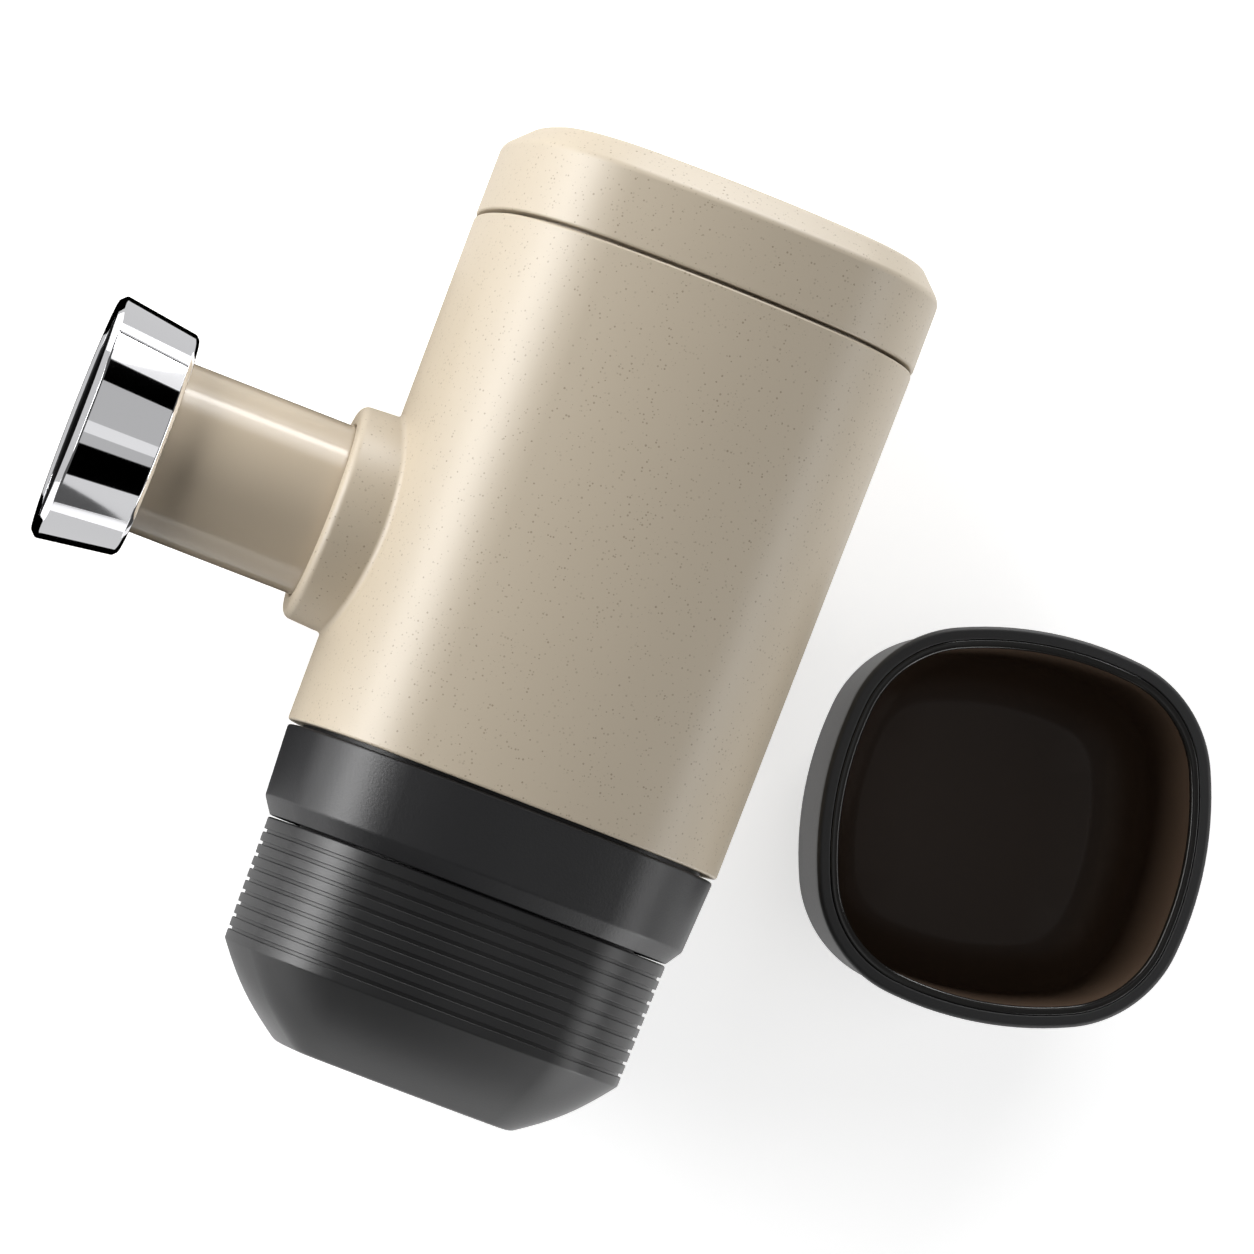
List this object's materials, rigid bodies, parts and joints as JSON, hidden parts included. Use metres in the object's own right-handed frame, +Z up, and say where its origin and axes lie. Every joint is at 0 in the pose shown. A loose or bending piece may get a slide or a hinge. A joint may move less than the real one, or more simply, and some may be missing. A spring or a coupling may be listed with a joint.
{
  "type": "handheld espresso maker",
  "caption": "Handheld manual espresso maker with a ribbed screw-on water tank, a side pump piston with a bright knob, a push-on cap and a loose rounded square cup.",
  "frame": {"origin": "on the table, under the middle of the box round the lying maker and the standing cup", "axes": "+Z up; the maker lies along Y with its cap towards +Y and its pump knob towards -X; the cup stands at +X"},
  "size_m": [0.1782, 0.136, 0.0667],
  "materials": {
    "stone_shell": "speckled sand beige, fine stone grain",
    "black_plastic": "satin black with fine grain",
    "black_grain": "black with fine leather-like grain",
    "taupe_sleeve": "plain glossy taupe",
    "knob_chrome": "mirror chrome",
    "knob_end_black": "gloss black with turned rings",
    "inner_plastic": "dark grey moulded plastic",
    "pump_plastic": "black glass-filled plastic",
    "seal_rubber": "soft black rubber",
    "clear_silicone": "milky silicone",
    "steel": "stainless, brushed",
    "cup_black": "matt black with fine grain",
    "cup_inner": "satin dark grey brown"
  },
  "bodies": {
    "body": {"base_collar": "black_grain", "collar_screws": "steel", "body_shell": "stone_shell", "brew_deck": "inner_plastic", "bulkhead": "inner_plastic", "bulkhead_screws": "steel", "tube_grommet": "seal_rubber", "air_valve": "clear_silicone", "inlet_fitting": "inner_plastic", "suction_tube": "clear_silicone", "inlet_strainer": "inner_plastic", "pump_body": "pump_plastic", "pump_gland": "inner_plastic", "rod_seal": "seal_rubber", "inlet_valve": "clear_silicone", "outlet_valve": "clear_silicone", "guide_bush": "inner_plastic", "sleeve_wiper": "seal_rubber", "spring_seat": "steel", "return_spring": "steel", "brew_chamber": "pump_plastic", "chamber_screws": "steel", "shower_screen": "steel", "filter_basket": "steel"},
    "cap": {"top_cap": "stone_shell", "cap_seal": "seal_rubber"},
    "tank_carrier": {"tank_seal": "seal_rubber"},
    "tank": {"water_tank": "black_plastic"},
    "piston": {"piston_sleeve": "taupe_sleeve", "sleeve_plug": "inner_plastic", "piston_rod": "steel", "piston_head": "inner_plastic", "piston_seal": "seal_rubber"},
    "knob": {"knob_ring": "knob_chrome", "knob_core": "inner_plastic", "knob_insert": "knob_end_black", "knob_screw": "steel"},
    "head_carrier": {"basket_seal": "seal_rubber"},
    "head": {"brew_head": "black_plastic", "outlet_nozzle": "pump_plastic", "head_screen": "steel"},
    "cup": {"cup_shell": "cup_black", "cup_liner": "cup_inner", "cup_foot": "seal_rubber"}
  },
  "joints": [
    {"name": "cap_lift", "type": "slide", "parent": "body", "child": "cap", "axis": [0, 1, 0], "range_m": [0, 0.06]},
    {"name": "tank_slide", "type": "slide", "parent": "body", "child": "tank_carrier", "axis": [0, -1, 0], "range_m": [0, 0.009]},
    {"name": "tank_turn", "type": "hinge", "parent": "tank_carrier", "child": "tank", "pos_m": [-0.01222, -0.068, 0.03335], "axis": [0, -1, 0], "range_deg": [0, 271]},
    {"name": "piston_stroke", "type": "slide", "parent": "body", "child": "piston", "axis": [1, 0, 0], "range_m": [0, 0.022], "stiffness_N_per_m": 300, "springref_m": -0.012, "deforming": ["return_spring"]},
    {"name": "knob_turn", "type": "hinge", "parent": "piston", "child": "knob", "pos_m": [-0.08912, 0.0055, 0.03335], "axis": [1, 0, 0], "range_deg": [0, 90]},
    {"name": "head_slide", "type": "slide", "parent": "body", "child": "head_carrier", "axis": [0, 1, 0], "range_m": [0, 0.003]},
    {"name": "head_turn", "type": "hinge", "parent": "head_carrier", "child": "head", "pos_m": [-0.01222, -0.068, 0.03335], "axis": [0, 1, 0], "range_deg": [0, 91]},
    {"name": "cup_lift", "type": "slide", "parent": "body", "child": "cup", "axis": [0, 0, 1], "range_m": [0, 0.1]}
  ],
  "couplings": [
    {"joint": "tank_turn", "follows": "tank_slide", "rad_per_m": 523.6},
    {"joint": "head_turn", "follows": "head_slide", "rad_per_m": 523.6}
  ]
}
